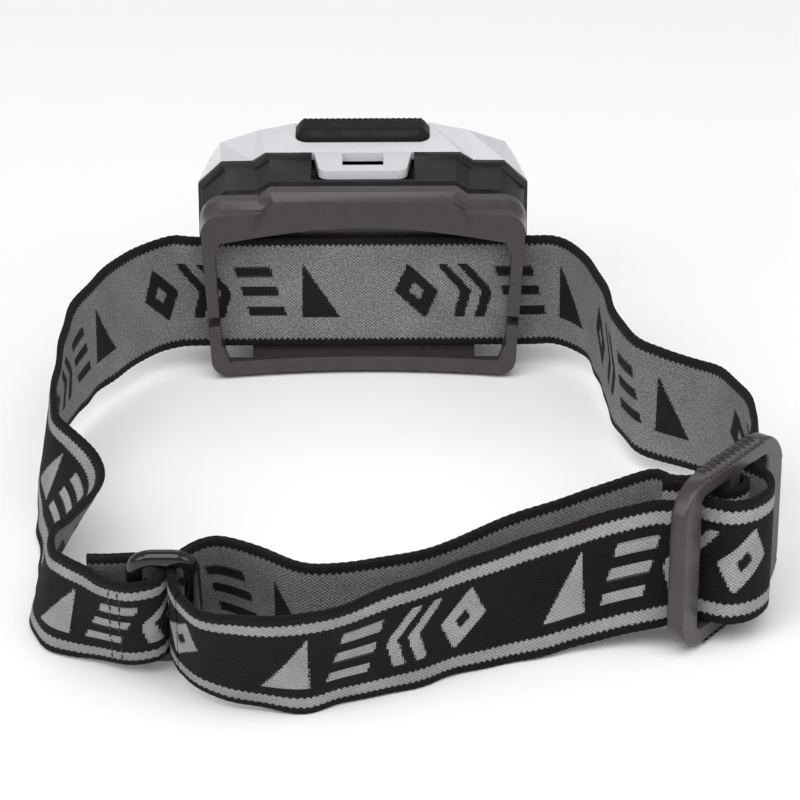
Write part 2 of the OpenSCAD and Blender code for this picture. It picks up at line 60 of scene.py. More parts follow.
class Shader:
    """One procedural material, with short names for the nodes it is built from."""

    def __init__(self, name):
        self.mat = bpy.data.materials.new(name)
        self.mat.use_nodes = True
        self.nt = self.mat.node_tree
        self.nt.nodes.clear()
        out = self.nt.nodes.new("ShaderNodeOutputMaterial")
        self.bsdf = self.nt.nodes.new("ShaderNodeBsdfPrincipled")
        self.nt.links.new(self.bsdf.outputs[0], out.inputs[0])

    def put(self, socket, value):
        """Link a socket's output, or set a plain value or a colour."""
        if isinstance(value, bpy.types.NodeSocket):
            self.nt.links.new(value, socket)
        elif isinstance(value, tuple) and len(value) == 3 and socket.type == "RGBA":
            socket.default_value = (*value, 1)
        else:
            socket.default_value = value

    def set(self, **values):
        for key, value in values.items():
            self.put(self.bsdf.inputs[key.replace("_", " ")], value)
        return self

    def math(self, op, a, b=0.0, c=0.0):
        node = self.nt.nodes.new("ShaderNodeMath")
        node.operation = op
        for socket, value in zip(node.inputs, (a, b, c)):
            self.put(socket, value)
        return node.outputs[0]

    def near(self, a, half, soft=0.12):
        """1 where |a| is under half, with a soft edge."""
        node = self.nt.nodes.new("ShaderNodeMapRange")
        node.interpolation_type = "SMOOTHSTEP"
        for key, value in (
            ("Value", self.math("ABSOLUTE", a)),
            ("From Min", self.math("SUBTRACT", half, soft)),
            ("From Max", self.math("ADD", half, soft)),
            ("To Min", 1.0),
            ("To Max", 0.0),
        ):
            self.put(node.inputs[key], value)
        return node.outputs[0]

    def ramp(self, value, lo, hi, to_lo=0.0, to_hi=1.0):
        """The value carried from one range to another, and held at its ends."""
        node = self.nt.nodes.new("ShaderNodeMapRange")
        for socket, v in zip(node.inputs, (value, lo, hi, to_lo, to_hi)):
            self.put(socket, v)
        return node.outputs[0]

    def mix(self, fac, a, b):
        node = self.nt.nodes.new("ShaderNodeMix")
        node.data_type = "RGBA"
        for socket, value in ((node.inputs[0], fac), (node.inputs[6], a), (node.inputs[7], b)):
            self.put(socket, value)
        return node.outputs[2]

    def place(self):
        return self.nt.nodes.new("ShaderNodeTexCoord").outputs["Object"]

    def noise(self, scale, detail=3.0, vector=None, rough=0.55):
        """Noise with the given number of features to a metre."""
        node = self.nt.nodes.new("ShaderNodeTexNoise")
        self.put(node.inputs["Vector"], self.place() if vector is None else vector)
        node.inputs["Scale"].default_value = scale
        node.inputs["Detail"].default_value = detail
        node.inputs["Roughness"].default_value = rough
        return node.outputs["Fac"]

    def stretched(self, vector, scale):
        """The vector scaled by a different amount on each axis."""
        node = self.nt.nodes.new("ShaderNodeMapping")
        self.put(node.inputs["Vector"], vector)
        node.inputs["Scale"].default_value = scale
        return node.outputs[0]

    def joined(self, x, y, k):
        """A vector from two strap coordinates, multiplied by k."""
        node = self.nt.nodes.new("ShaderNodeCombineXYZ")
        self.put(node.inputs[0], self.math("MULTIPLY", x, k))
        self.put(node.inputs[1], self.math("MULTIPLY", y, k))
        return node.outputs[0]

    def bump(self, height, depth_mm, strength=1.0):
        node = self.nt.nodes.new("ShaderNodeBump")
        node.inputs["Strength"].default_value = strength
        node.inputs["Distance"].default_value = depth_mm * MM
        self.put(node.inputs["Height"], height)
        self.put(self.bsdf.inputs["Normal"], node.outputs[0])


def moulded(name, colour, rough, grain=2600.0, depth=0.012, coat=0.0, scratches=0.0,
            spread=0.25, spec=0.5):
    """A moulded plastic: fine grain, cloudy gloss, and optionally light scratches and specks.

    grain is in features to a metre, depth is the grain's height in millimetres, and spread
    is how far the colour wanders either side of its middle.
    """
    s = Shader(name)
    cloud = s.noise(260.0, 4.0)
    dark = tuple(c * (1 - spread) for c in colour)
    light = tuple(min(1.0, c * (1 + spread)) for c in colour)
    base = s.mix(cloud, dark, light)
    if scratches:
        along = s.stretched(s.place(), (160.0, 900.0, 2600.0))
        lines = s.ramp(s.noise(1.0, 2.0, along), 0.66, 0.72)
        specks = s.ramp(s.noise(1500.0, 1.0), 0.72, 0.78)
        worn = s.math("MULTIPLY", s.math("MAXIMUM", lines, specks), scratches)
        base = s.mix(worn, base, tuple(c + 0.16 for c in colour))
    s.set(Base_Color=base, Roughness=s.ramp(cloud, 0.3, 0.7, rough * 0.82, rough * 1.18))
    s.set(Coat_Weight=coat, Coat_Roughness=0.08, Specular_IOR_Level=spec)
    s.bump(s.noise(grain, 2.0), depth)
    return s.mat


def metal(name, colour, rough, brushed=(1.0, 14.0, 14.0)):
    """A metal with fine lines drawn along X."""
    s = Shader(name)
    lines = s.noise(600.0, 3.0, s.stretched(s.place(), brushed))
    s.set(Base_Color=s.mix(lines, tuple(c * 0.8 for c in colour), colour), Metallic=1.0)
    s.set(Roughness=s.ramp(lines, 0.3, 0.7, rough * 0.7, rough * 1.3))
    s.bump(lines, 0.004)
    return s.mat


# The strap's own coordinates are its UVs: u runs along it and v across it, in millimetres.
STRAP_W = 25.0
KNIT_STEP = 0.42  # the figures' edges follow the knit in steps of this size
ROW_PITCH, WALE_PITCH = 0.82, 0.7
MOTIF_PITCH, MOTIF_HALF = 11.0, 6.1  # a figure's length along the strap, half its width across
MOTIF_PLACES = 5.0  # four figures and a gap, then over again
SLANT = 0.3


def motif(s, u, v):
    """A repeating row of plain shapes, then a gap: lozenge, chevrons, bars, wedge."""
    across = s.math("SUBTRACT", s.math("SNAP", v, KNIT_STEP), STRAP_W / 2)
    fuzz = s.noise(1.1, 2.0, s.joined(u, v, 1.0))
    slant = s.math("MULTIPLY_ADD", across, SLANT, s.math("SNAP", u, KNIT_STEP))
    slant = s.math("MULTIPLY_ADD", s.math("SUBTRACT", fuzz, 0.5), 0.9, slant)
    cell = s.math("FLOOR", s.math("DIVIDE", slant, MOTIF_PITCH))
    along = s.math("MULTIPLY_ADD", s.math("ADD", cell, 0.5), -MOTIF_PITCH, slant)
    kind = s.math("FLOORED_MODULO", cell, MOTIF_PLACES)
    a, b = s.math("ABSOLUTE", along), s.math("ABSOLUTE", across)
    ring = s.math("ADD", s.math("DIVIDE", a, 4.7), s.math("DIVIDE", b, 6.3))
    lozenge = s.near(s.math("SUBTRACT", ring, 0.66), 0.34, 0.03)
    bend = s.math("MULTIPLY_ADD", b, 0.55, along)
    chevrons = s.math(
        "MAXIMUM",
        s.near(s.math("SUBTRACT", bend, -0.6), 1.15),
        s.near(s.math("SUBTRACT", bend, 3.9), 1.15))
    rung = s.near(s.math("PINGPONG", s.math("ADD", across, 18.0), 2.25), 1.1)
    bars = s.math("MULTIPLY", rung, s.near(along, 3.9))
    wedge = s.near(along, s.math("MULTIPLY_ADD", across, -0.33, 2.1))
    shape = 0.0
    for i, mask in enumerate((lozenge, chevrons, bars, wedge)):
        chosen = s.math("MULTIPLY", mask, s.math("COMPARE", kind, float(i), 0.2))
        shape = s.math("MAXIMUM", shape, chosen)
    margin = s.near(along, MOTIF_PITCH / 2 - 0.9)
    inside = s.math("MULTIPLY", s.near(across, MOTIF_HALF), margin)
    return s.math("MULTIPLY", shape, inside)


def webbing(name, outer):
    """Knitted elastic: black with pale stripes outside, grey melange with black edges inside."""
    s = Shader(name)
    uv = s.nt.nodes.new("ShaderNodeUVMap")
    uv.uv_map = "strap"
    split = s.nt.nodes.new("ShaderNodeSeparateXYZ")
    s.put(split.inputs[0], uv.outputs[0])
    u, v = split.outputs[0], split.outputs[1]
    # rows of loops across the strap, each wale set half a row from the next
    wale = s.math("MULTIPLY", v, TAU / WALE_PITCH)
    shift = s.math("MULTIPLY", s.math("SINE", wale), 0.9)
    row = s.math("SINE", s.math("ADD", s.math("MULTIPLY", u, TAU / ROW_PITCH), shift))
    loops = s.math("MULTIPLY_ADD", s.math("MULTIPLY", row, s.math("COSINE", wale)), 0.5, 0.5)
    fuzz = s.noise(2.6, 4.0, s.joined(u, v, 1.0), 0.7)
    melange = s.noise(1.9, 3.0, s.joined(u, v, 1.0), 0.75)
    broad = s.noise(0.12, 2.0, s.joined(u, v, 1.0))
    off_middle = s.math("ABSOLUTE", s.math("SUBTRACT", v, STRAP_W / 2))
    rim = s.math("SUBTRACT", STRAP_W / 2, off_middle)
    teeth = s.math("PINGPONG", u, 0.58)
    figure = motif(s, u, v)
    if outer:
        ragged = s.math("MULTIPLY_ADD", teeth, 0.7, s.math("MULTIPLY_ADD", fuzz, 1.1, rim))
        stripe = s.near(s.math("SUBTRACT", ragged, 3.9), 1.2, 0.16)
        pale = s.math("MAXIMUM", stripe, figure)
        thread = s.mix(melange, (0.2, 0.2, 0.2), (0.52, 0.52, 0.51))
        glint = s.ramp(s.noise(3.4, 1.0, s.joined(u, v, 1.0)), 0.74, 0.8)
        ground = s.mix(fuzz, (0.0035, 0.0028, 0.003), (0.0165, 0.0135, 0.0135))
        ground = s.mix(s.math("MULTIPLY", glint, 0.5), ground, (0.11, 0.105, 0.1))
    else:
        ragged = s.math("MULTIPLY_ADD", teeth, 0.9, s.math("MULTIPLY_ADD", fuzz, 0.9, rim))
        edge = s.ramp(ragged, 2.4, 2.6, 1.0, 0.0)
        pale = s.math("SUBTRACT", 1.0, s.math("MAXIMUM", edge, figure))
        thread = s.mix(s.ramp(melange, 0.3, 0.7), (0.12, 0.121, 0.12), (0.34, 0.345, 0.345))
        ground = s.mix(fuzz, (0.006, 0.005, 0.005), (0.025, 0.022, 0.022))
    shade = s.ramp(loops, 0.0, 1.0, 0.55, 1.18)
    colour = s.mix(pale, ground, thread)
    tone = s.nt.nodes.new("ShaderNodeHueSaturation")
    s.put(tone.inputs["Value"], s.math("MULTIPLY", shade, s.ramp(broad, 0.3, 0.7, 0.88, 1.12)))
    s.put(tone.inputs["Color"], colour)
    s.set(Base_Color=tone.outputs[0], Roughness=s.ramp(fuzz, 0.2, 0.8, 0.72, 0.95))
    s.set(Specular_IOR_Level=0.12, Sheen_Weight=0.015, Sheen_Roughness=0.4)
    height = s.math("MULTIPLY_ADD", fuzz, 0.55, s.math("MULTIPLY_ADD", pale, 0.35, loops))
    s.bump(height, 0.22, 0.9)
    return s.mat


WEB_OUT, WEB_IN = webbing("webbing_outer", True), webbing("webbing_inner", False)

BRONZE = moulded("bronze_satin", (0.046, 0.037, 0.039), 0.3, 3200, 0.010, 0.1, 0.08, spec=0.4)
BLACK_SATIN = moulded("housing_satin", (0.0075, 0.0072, 0.0085), 0.3, 2400, 0.014, 0.03, 0.16,
                      spec=0.2)
BLACK_INNER = moulded("inner_black", (0.018, 0.018, 0.02), 0.5, 1800, 0.02)
WHITE = moulded("gloss_white", (0.69, 0.67, 0.71), 0.24, 1400, 0.003, 0.25, 0.0, 0.02, 0.4)
BLACK_GLOSS = moulded("gloss_black", (0.007, 0.007, 0.008), 0.14, 1400, 0.004, 0.3, 0.04,
                      spec=0.35)
RUBBER = moulded("ribbed_rubber", (0.0065, 0.006, 0.0065), 0.5, 5200, 0.02, spread=0.4,
                 spec=0.18)
SEAL = moulded("seal_black", (0.028, 0.028, 0.03), 0.7, 4200, 0.02)
STEEL = metal("pin_steel", (0.62, 0.62, 0.61), 0.28)
NICKEL = metal("nickel_strip", (0.76, 0.72, 0.64), 0.24)
CHROME = metal("reflector_metal", (0.88, 0.88, 0.9), 0.08, (3.0, 3.0, 3.0))
THREAD = moulded("thread_black", (0.012, 0.011, 0.011), 0.7, 9000, 0.03, spread=0.5)


def clear_material():
    """Clear moulded plastic for the lens."""
    s = Shader("lens_clear")
    haze = s.noise(420.0, 3.0)
    s.set(Base_Color=s.mix(haze, (0.93, 0.95, 0.97), (0.97, 0.98, 1.0)))
    s.set(Roughness=0.03, IOR=1.49, Transmission_Weight=1.0)
    s.bump(haze, 0.003)
    return s.mat


def board_material():
    """Solder mask over faint copper tracks."""
    s = Shader("board_mask")
    split = s.nt.nodes.new("ShaderNodeSeparateXYZ")
    s.put(split.inputs[0], s.place())
    wander = s.math("MULTIPLY_ADD", s.noise(90.0, 0.0), 0.004, split.outputs[2])
    lane = s.math("SUBTRACT", s.math("PINGPONG", wander, 0.0011), 0.0005)
    track = s.near(lane, 0.0002, 0.00006)
    fine = s.noise(3000.0, 2.0)
    colour = s.mix(track, (0.008, 0.085, 0.035), (0.03, 0.19, 0.07))
    s.set(Base_Color=s.mix(s.math("MULTIPLY", fine, 0.4), colour, (0.01, 0.05, 0.02)))
    s.set(Roughness=s.ramp(fine, 0.3, 0.7, 0.25, 0.4), Coat_Weight=0.4)
    s.bump(track, 0.05)
    return s.mat


def cell_material():
    """A printed-film jacket: dark body, bronze end band, fine hoop lines, no marks."""
    s = Shader("cell_film")
    split = s.nt.nodes.new("ShaderNodeSeparateXYZ")
    s.put(split.inputs[0], s.place())
    x = split.outputs[0]
    band = s.near(s.math("SUBTRACT", s.math("ABSOLUTE", x), 0.0165), 0.0044, 0.0001)
    hoop = s.near(s.math("SUBTRACT", s.math("ABSOLUTE", x), 0.0112), 0.0003, 0.00008)
    tip = s.near(s.math("SUBTRACT", s.math("ABSOLUTE", x), 0.0223), 0.0011, 0.0001)
    smear = s.noise(300.0, 3.0)
    colour = s.mix(band, (0.02, 0.021, 0.024), (0.42, 0.22, 0.06))
    colour = s.mix(hoop, colour, (0.5, 0.5, 0.5))
    colour = s.mix(tip, colour, (0.62, 0.61, 0.58))
    s.set(Base_Color=colour, Metallic=s.math("MAXIMUM", band, tip))
    s.set(Roughness=s.ramp(smear, 0.3, 0.7, 0.18, 0.34), Coat_Weight=0.3)
    s.bump(smear, 0.01)
    return s.mat


SIDE_LED_X, LED_Z = 0.0188, 0.0225  # the middles of the chips, in metres
MAIN_GLOW, SIDE_GLOW = 0.0019, 0.0011  # radius of the phosphor


def led_material():
    """Yellow phosphor with a pale ceramic rim, by distance from each chip's middle."""
    s = Shader("led_chip")
    split = s.nt.nodes.new("ShaderNodeSeparateXYZ")
    s.put(split.inputs[0], s.place())
    x = s.math("ABSOLUTE", split.outputs[0])
    side = s.math("GREATER_THAN", x, 0.01)
    dx = s.math("MULTIPLY_ADD", side, -SIDE_LED_X, x)
    dz = s.math("SUBTRACT", split.outputs[2], LED_Z)
    away = s.math("SQRT", s.math("ADD", s.math("MULTIPLY", dx, dx), s.math("MULTIPLY", dz, dz)))
    reach = s.math("MULTIPLY_ADD", side, SIDE_GLOW - MAIN_GLOW, MAIN_GLOW)
    glow = s.math("LESS_THAN", away, reach)
    fine = s.noise(4000.0, 2.0)
    phosphor = s.mix(fine, (0.75, 0.52, 0.05), (0.9, 0.72, 0.14))
    s.set(Base_Color=s.mix(glow, (0.72, 0.72, 0.7), phosphor))
    s.set(Roughness=s.ramp(fine, 0.3, 0.7, 0.3, 0.5))
    s.bump(fine, 0.02)
    return s.mat


CLEAR, BOARD, CELL, LED = clear_material(), board_material(), cell_material(), led_material()


# ---------------------------------------------------------------- mesh helpers


def new_object(name, mesh, *materials):
    """A mesh in the scene, with its material slots."""
    ob = bpy.data.objects.new(name, mesh)
    bpy.context.scene.collection.objects.link(ob)
    mesh.materials.clear()
    for m in materials:
        mesh.materials.append(m)
    return ob


def smooth(mesh, degrees):
    """Smooth shading, with edges sharper than the angle kept crisp."""
    mesh.polygons.foreach_set("use_smooth", [True] * len(mesh.polygons))
    mesh.set_sharp_from_angle(angle=math.radians(degrees))


def stands_for(ob, node):
    """The piece takes a CAD node's place and body."""
    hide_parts(node)
    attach(ob, BODY[node])


def dress(node, material, bevel=0.25, segments=2, angle=32.0):
    """A CAD node's shape in its full material, with edges sharper than angle rounded."""
    mesh = frame["nodes"][node].data.copy()
    bm = bmesh.new()
    bm.from_mesh(mesh)
    bmesh.ops.remove_doubles(bm, verts=bm.verts, dist=2e-6)
    bmesh.ops.dissolve_limit(bm, angle_limit=math.radians(0.6), verts=bm.verts, edges=bm.edges)
    bm.to_mesh(mesh)
    bm.free()
    ob = new_object(node + "_skin", mesh, material)
    mesh.polygons.foreach_set("material_index", [0] * len(mesh.polygons))
    mod = ob.modifiers.new("edges", "BEVEL")
    mod.width = bevel * MM
    mod.segments = segments
    mod.limit_method = "ANGLE"
    mod.angle_limit = math.radians(angle)
    mod.harden_normals = True
    mod.miter_outer = "MITER_ARC"
    smooth(mesh, 30.0)
    stands_for(ob, node)


def mesh_from_curve(name, curve, material):
    """A curve turned into a plain mesh, so its shape no longer depends on the curve."""
    temp = bpy.data.objects.new(name + "_curve", curve)
    bpy.context.scene.collection.objects.link(temp)
    bpy.context.view_layer.update()
    graph = bpy.context.evaluated_depsgraph_get()
    mesh = bpy.data.meshes.new_from_object(temp.evaluated_get(graph))
    bpy.data.objects.remove(temp)
    mesh.name = name
    ob = new_object(name, mesh, material)
    smooth(mesh, 40.0)
    return ob


def tube(name, paths, radius, material, closed=False, sides=5):
    """Round bars along paths of points in millimetres."""
    curve = bpy.data.curves.new(name, "CURVE")
    curve.dimensions = "3D"
    curve.bevel_depth = radius * MM
    curve.bevel_resolution = sides
    curve.use_fill_caps = True
    for path in paths:
        spline = curve.splines.new("POLY")
        spline.points.add(len(path) - 1)
        for point, p in zip(spline.points, path):
            point.co = (*(c * MM for c in p), 1)
        spline.use_cyclic_u = closed
    return mesh_from_curve(name, curve, material)


def rounded(w, h, r, steps=10):
    """A rounded rectangle's outline, anticlockwise from the right side."""
    out = []
    for sx, sy, start in ((1, 1, 0), (-1, 1, 90), (-1, -1, 180), (1, -1, 270)):
        for i in range(steps + 1):
            a = math.radians(start + 90 * i / steps)
            out.append((sx * (w / 2 - r) + r * math.cos(a),
                        sy * (h / 2 - r) + r * math.sin(a)))
    return out


def closed_grid(name, top, floor, material):
    """A closed solid between a grid of top points (x, y, z) and a flat underside."""
    n, m = top.shape[:2]
    low = top.copy()
    low[..., 2] = floor
    verts = np.concatenate([top.reshape(-1, 3), low.reshape(-1, 3)]) * MM
    UP, DOWN = 0, n * m

    def quad(*corners):
        faces.append(tuple(layer + i * m + j for i, j, layer in corners))

    faces = []
    for i in range(n - 1):
        for j in range(m - 1):
            quad((i, j, UP), (i + 1, j, UP), (i + 1, j + 1, UP), (i, j + 1, UP))
            quad((i, j, DOWN), (i, j + 1, DOWN), (i + 1, j + 1, DOWN), (i + 1, j, DOWN))
    for i in range(n - 1):
        quad((i, 0, DOWN), (i + 1, 0, DOWN), (i + 1, 0, UP), (i, 0, UP))
        quad((i, m - 1, UP), (i + 1, m - 1, UP), (i + 1, m - 1, DOWN), (i, m - 1, DOWN))
    for j in range(m - 1):
        quad((0, j, UP), (0, j + 1, UP), (0, j + 1, DOWN), (0, j, DOWN))
        quad((n - 1, j, DOWN), (n - 1, j + 1, DOWN), (n - 1, j + 1, UP), (n - 1, j, UP))
    mesh = bpy.data.meshes.new(name)
    mesh.from_pydata(verts.tolist(), [], faces)
    ob = new_object(name, mesh, material)
    smooth(mesh, 50.0)
    return ob


# ---------------------------------------------------------------- lamp

dress("bracket", BRONZE, 0.45, 3)
dress("tilt_pin", STEEL, 0.15)
dress("rear_housing", BLACK_SATIN, 0.22, 2, 16.0)
dress("battery_tray", BLACK_INNER, 0.2)
for cell in ("battery_top", "battery_middle", "battery_bottom"):
    dress(cell, CELL, 0.15)
dress("contact_plates", NICKEL, 0.08)
dress("cover_seal", SEAL, 0.12)
dress("cover_hinge_pin", STEEL, 0.12)
dress("front_cover", WHITE, 0.32, 3, 14.0)
dress("front_lens", CLEAR, 0.2)
dress("lens_frame", BLACK_GLOSS, 0.18)
dress("reflector", CHROME, 0.12)
dress("main_led", LED, 0.15)
dress("side_leds", LED, 0.12)
dress("circuit_board", BOARD, 0.06)
dress("switch_board", BOARD, 0.06)
dress("tact_switch", BLACK_INNER, 0.12)
dress("rear_plate", BLACK_INNER, 0.2)
dress("cover_screws", STEEL, 0.06)

# Contact springs: conical wire coils along X, the middle one the other way round.
SPRING_TURNS, SPRING_X, SPRING_LENGTH, SPRING_STEPS = 2.6, 22.5, 1.15, 120
CELL_Y, CELL_Z, CELL_PITCH = -11.0, 21.9, 10.7
springs = []
for row in (-1, 0, 1):
    side = -1 if row == 0 else 1
    path = []
    for i in range(SPRING_STEPS + 1):
        t = i / SPRING_STEPS
        a, r = TAU * SPRING_TURNS * t, 2.2 + 1.2 * t
        path.append((side * (SPRING_X + SPRING_LENGTH * t), CELL_Y + r * math.cos(a),
                     CELL_Z + row * CELL_PITCH + r * math.sin(a)))
    springs.append(path)
stands_for(tube("spring_coils", springs, 0.22, NICKEL), "contact_springs")

# Power button: a sloped cap with fine diagonal ribs standing on its top.
BUTTON_X, BUTTON_Y0, BUTTON_Y1, BUTTON_R = 14.25, -31.2, -23.4, 2.5
BUTTON_TOP, BUTTON_FLOOR = 45.15, 39.9
RIB_PITCH, RIB_H = 0.95, 0.16
inner_x = np.arange(-BUTTON_X + 0.05, BUTTON_X - 0.04, 0.12)
gx = np.concatenate([[-BUTTON_X], inner_x, [BUTTON_X]])
gy = np.arange(BUTTON_Y0, BUTTON_Y1 + 0.01, 0.125)
X, Y = np.meshgrid(gx, gy, indexing="ij")
side_fall = np.clip(np.abs(X) - (BUTTON_X - 1.7), 0, None) / 1.7
back_fall = np.clip(Y - (BUTTON_Y1 - 1.6), 0, None) / 1.6
front_fall = np.clip(BUTTON_Y0 + 0.5 - Y, 0, None) / 0.5
fall = np.clip(side_fall**1.6 * 1.7 + back_fall**1.6 * 1.7 + front_fall**2 * 0.4, 0, 2.0)
wave = 0.5 + 0.5 * np.cos(TAU * (X * 0.8 + Y * 0.6) / RIB_PITCH)
flat = np.clip(1 - fall * 0.9, 0, 1)
Z = BUTTON_TOP - RIB_H + RIB_H * wave**0.6 * flat - fall
corner = np.clip(Y - (BUTTON_Y1 - BUTTON_R), 0, BUTTON_R)
X = X * (BUTTON_X - BUTTON_R + np.sqrt(BUTTON_R**2 - corner**2 + 1e-9)) / BUTTON_X
cap = closed_grid("button_cap", np.stack([X, Y, Z], -1), BUTTON_FLOOR, RUBBER)
stands_for(cap, "power_button")


# ---------------------------------------------------------------- ring and slider

RING_C, RING_LEAN, RING_BAR = (35.0, 126.0, 1.1), math.radians(26), 3.0
ring_up = (0.0, math.sin(RING_LEAN), math.cos(RING_LEAN))
ring_path = [
    (RING_C[0] + x, RING_C[1] + (z + 16) * ring_up[1], RING_C[2] + (z + 16) * ring_up[2])
    for x, z in rounded(10, 29, 3.4, 12)
]
stands_for(tube("ring_bar", [ring_path], RING_BAR / 2, BLACK_GLOSS, True, 8), "strap_ring")

SLIDER_C, SLIDER_D, SLIDER_N = (-65.3, 112.6), (0.6, 0.8), (-0.8, 0.6)
SLIDER_L, SLIDER_H, SLIDER_T, SLIDER_Z, GRIP_PITCH = 34.4, 33.8, 3.4, 17.5, 1.65


def slider_outline():
    """A rounded plate with gently bowed ends and eleven grip ridges on each short side."""
    corner = [(x, z) for x, z in rounded(SLIDER_L, SLIDER_H, 8, 14) if x > 0 and z > 0]
    bowed = [(x - 0.5 * (z / 12) ** 2 if z < 10 else x, z) for x, z in corner]
    ridge = [
        (x, SLIDER_H / 2 - 0.45 + 0.95 * (0.5 + 0.5 * math.cos(TAU * x / GRIP_PITCH)) ** 0.7)
        for x in np.linspace(9.0, -9.0, 177)
    ]
    top = bowed + ridge + [(-x, z) for x, z in bowed[::-1]]
    return top + [(-x, -z) for x, z in top]


def plate(name, outlines, half, bevel, material, matrix):
    """A flat plate from outlines in millimetres, the first outside and the rest holes."""
    curve = bpy.data.curves.new(name, "CURVE")
    curve.dimensions = "2D"
    curve.fill_mode = "BOTH"
    curve.extrude = (half - bevel) * MM
    curve.bevel_depth = bevel * MM
    curve.bevel_resolution = 3
    curve.offset = -bevel * MM
    for outline in outlines:
        spline = curve.splines.new("POLY")
        spline.points.add(len(outline) - 1)
        for point, (x, y) in zip(spline.points, outline):
            point.co = (x * MM, y * MM, 0, 1)
        spline.use_cyclic_u = True
    ob = mesh_from_curve(name, curve, material)
    ob.data.transform(matrix)
    return ob


slots = [[(x + sx * 6.45, z) for x, z in rounded(9.5, 26.6, 1.2, 8)] for sx in (-1, 1)]
slider_matrix = Matrix((
    (SLIDER_D[0], 0, -SLIDER_N[0], SLIDER_C[0] * MM),
    (SLIDER_D[1], 0, -SLIDER_N[1], SLIDER_C[1] * MM),
    (0, 1, 0, SLIDER_Z * MM),
    (0, 0, 0, 1)))
slider = plate("slider_plate", [slider_outline(), *slots], SLIDER_T / 2, 0.6, BRONZE,
               slider_matrix)
stands_for(slider, "strap_slider")
grips = []
for end in (-1, 1):
    for i in range(-5, 6):
        along, z = i * GRIP_PITCH, SLIDER_Z + end * (SLIDER_H / 2 - 0.12)
        grips.append([
            (SLIDER_C[0] + along * SLIDER_D[0] + n * SLIDER_N[0],
             SLIDER_C[1] + along * SLIDER_D[1] + n * SLIDER_N[1],
             z - end * 0.5 * (abs(n) / 1.5)**3)
            for n in (-1.62, -1.35, -0.9, -0.3, 0.3, 0.9, 1.35, 1.62)])
grip = tube("slider_grips", grips, 0.56, BLACK_GLOSS)
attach(grip, "slider")


# ---------------------------------------------------------------- strap


def at(s, n):
    """A strap station beside the slider: s along it, n outwards from its middle plane."""
    x = SLIDER_C[0] + s * SLIDER_D[0] + n * SLIDER_N[0]
    y = SLIDER_C[1] + s * SLIDER_D[1] + n * SLIDER_N[1]
    return [x, y, 4.6, x, y]


# Each station is the lower edge's x, y and z, then the upper edge's x and y.
FRONT = [
    [49, 122.5, 2, 48.6, 131.8], [45, 122.8, 3, 44.6, 133],
    [40, 123.8, 4.2, 39.2, 134.5], [37.4, 124.6, 4.2, 36.6, 135.6],
    [35.7, 126.9, 4.4, 35, 137.8], [36.3, 129.1, 3.3, 35.5, 140.1],
    [38.5, 129.9, 2.6, 37.4, 141], [42.5, 128.9, 1.7, 41.4, 140.2],
    [48, 125.4, 0.8, 46, 136.4], [53, 123.5, 0.3, 49, 132.5],
    [57.5, 120.5, 0, 52.6, 128.5], [60, 115, 0, 55, 124.3],
    [61, 108.5, 0, 55.5, 116.5], [61, 102, 0, 53, 110],
    [61, 95, 0, 50, 102], [61.5, 88, 0, 48.7, 92],
    [62, 82, 0.5, 50, 86], [63, 73, 0.5, 54.5, 78.5],
    [63.5, 65, 1, 58.9, 72.5], [63.8, 58, 1.5, 59.8, 64.5],
    [63, 49, 2.8, 59.5, 55], [61, 40, 4.2, 59.6, 45],
    [58.5, 31, 4.6, 58.6, 34.5], [55.5, 23, 4.8, 55.8, 22.5],
    [50.5, 13, 5, 52, 12.5], [45.5, 5.5, 5.1, 46.8, 4.5],
    [40, 0.8, 5.2, 40.5, -1.2], [34, 0, 5.3, 34, 0],
    [12, 0, 5.3, 12, 0], [-12, 0, 5.3, -12, 0],
    [-34, 0, 5.3, -34, 0], [-40.5, -0.2, 5.3, -40.3, 0.6],
    [-45.5, 4, 5.2, -44.5, 5.5], [-48.5, 12, 5.1, -46.8, 13],
    [-50, 26, 4.6, -49.5, 28], [-51.5, 38, 3.8, -51, 40],
    [-54, 47, 3.5, -54, 48], [-58.5, 51.5, 3.2, -58.5, 52.5],
    [-65, 56, 3.2, -65, 58], [-71, 62.5, 3.5, -69.5, 63.5],
    [-75, 71, 4, -72.5, 72.5], [-76, 82, 4.3, -73, 83.5],
    [-74.2, 92, 4.5, -72, 93], at(-13.4, -2.9), at(-10.5, -3.1), at(-8.5, -2.2)]
LOOP = [at(-8.3, -1.3), at(-7.9, 1.6), at(-6.6, 4.8), at(-2.2, 7.5),
        at(3, 7.6), at(6.6, 5.4), at(7.7, 2.2), at(7.9, -0.8)]
OUTER = [at(8.1, -1.3), at(9.4, -2.9), at(12.4, -3),
         [-51.6, 121.6, 4, -50.8, 119.6], [-42.6, 121.6, 2, -41.9, 120.7],
         [-33.5, 124.4, 0.5, -32.9, 123.6], [-24.4, 126.8, 0, -23.9, 129.2],
         [-15.3, 131, 0, -15, 134.9], [-6.4, 136, 0, -6.2, 141.3],
         [4.2, 140.1, 0, 4.1, 147.9], [11.2, 143.2, 0, 10.9, 151],
         [20, 142.5, 1, 19.3, 152.4], [28.4, 138.7, 2, 27.6, 150.4],
         [32.4, 133.4, 2.4, 31.8, 145]]
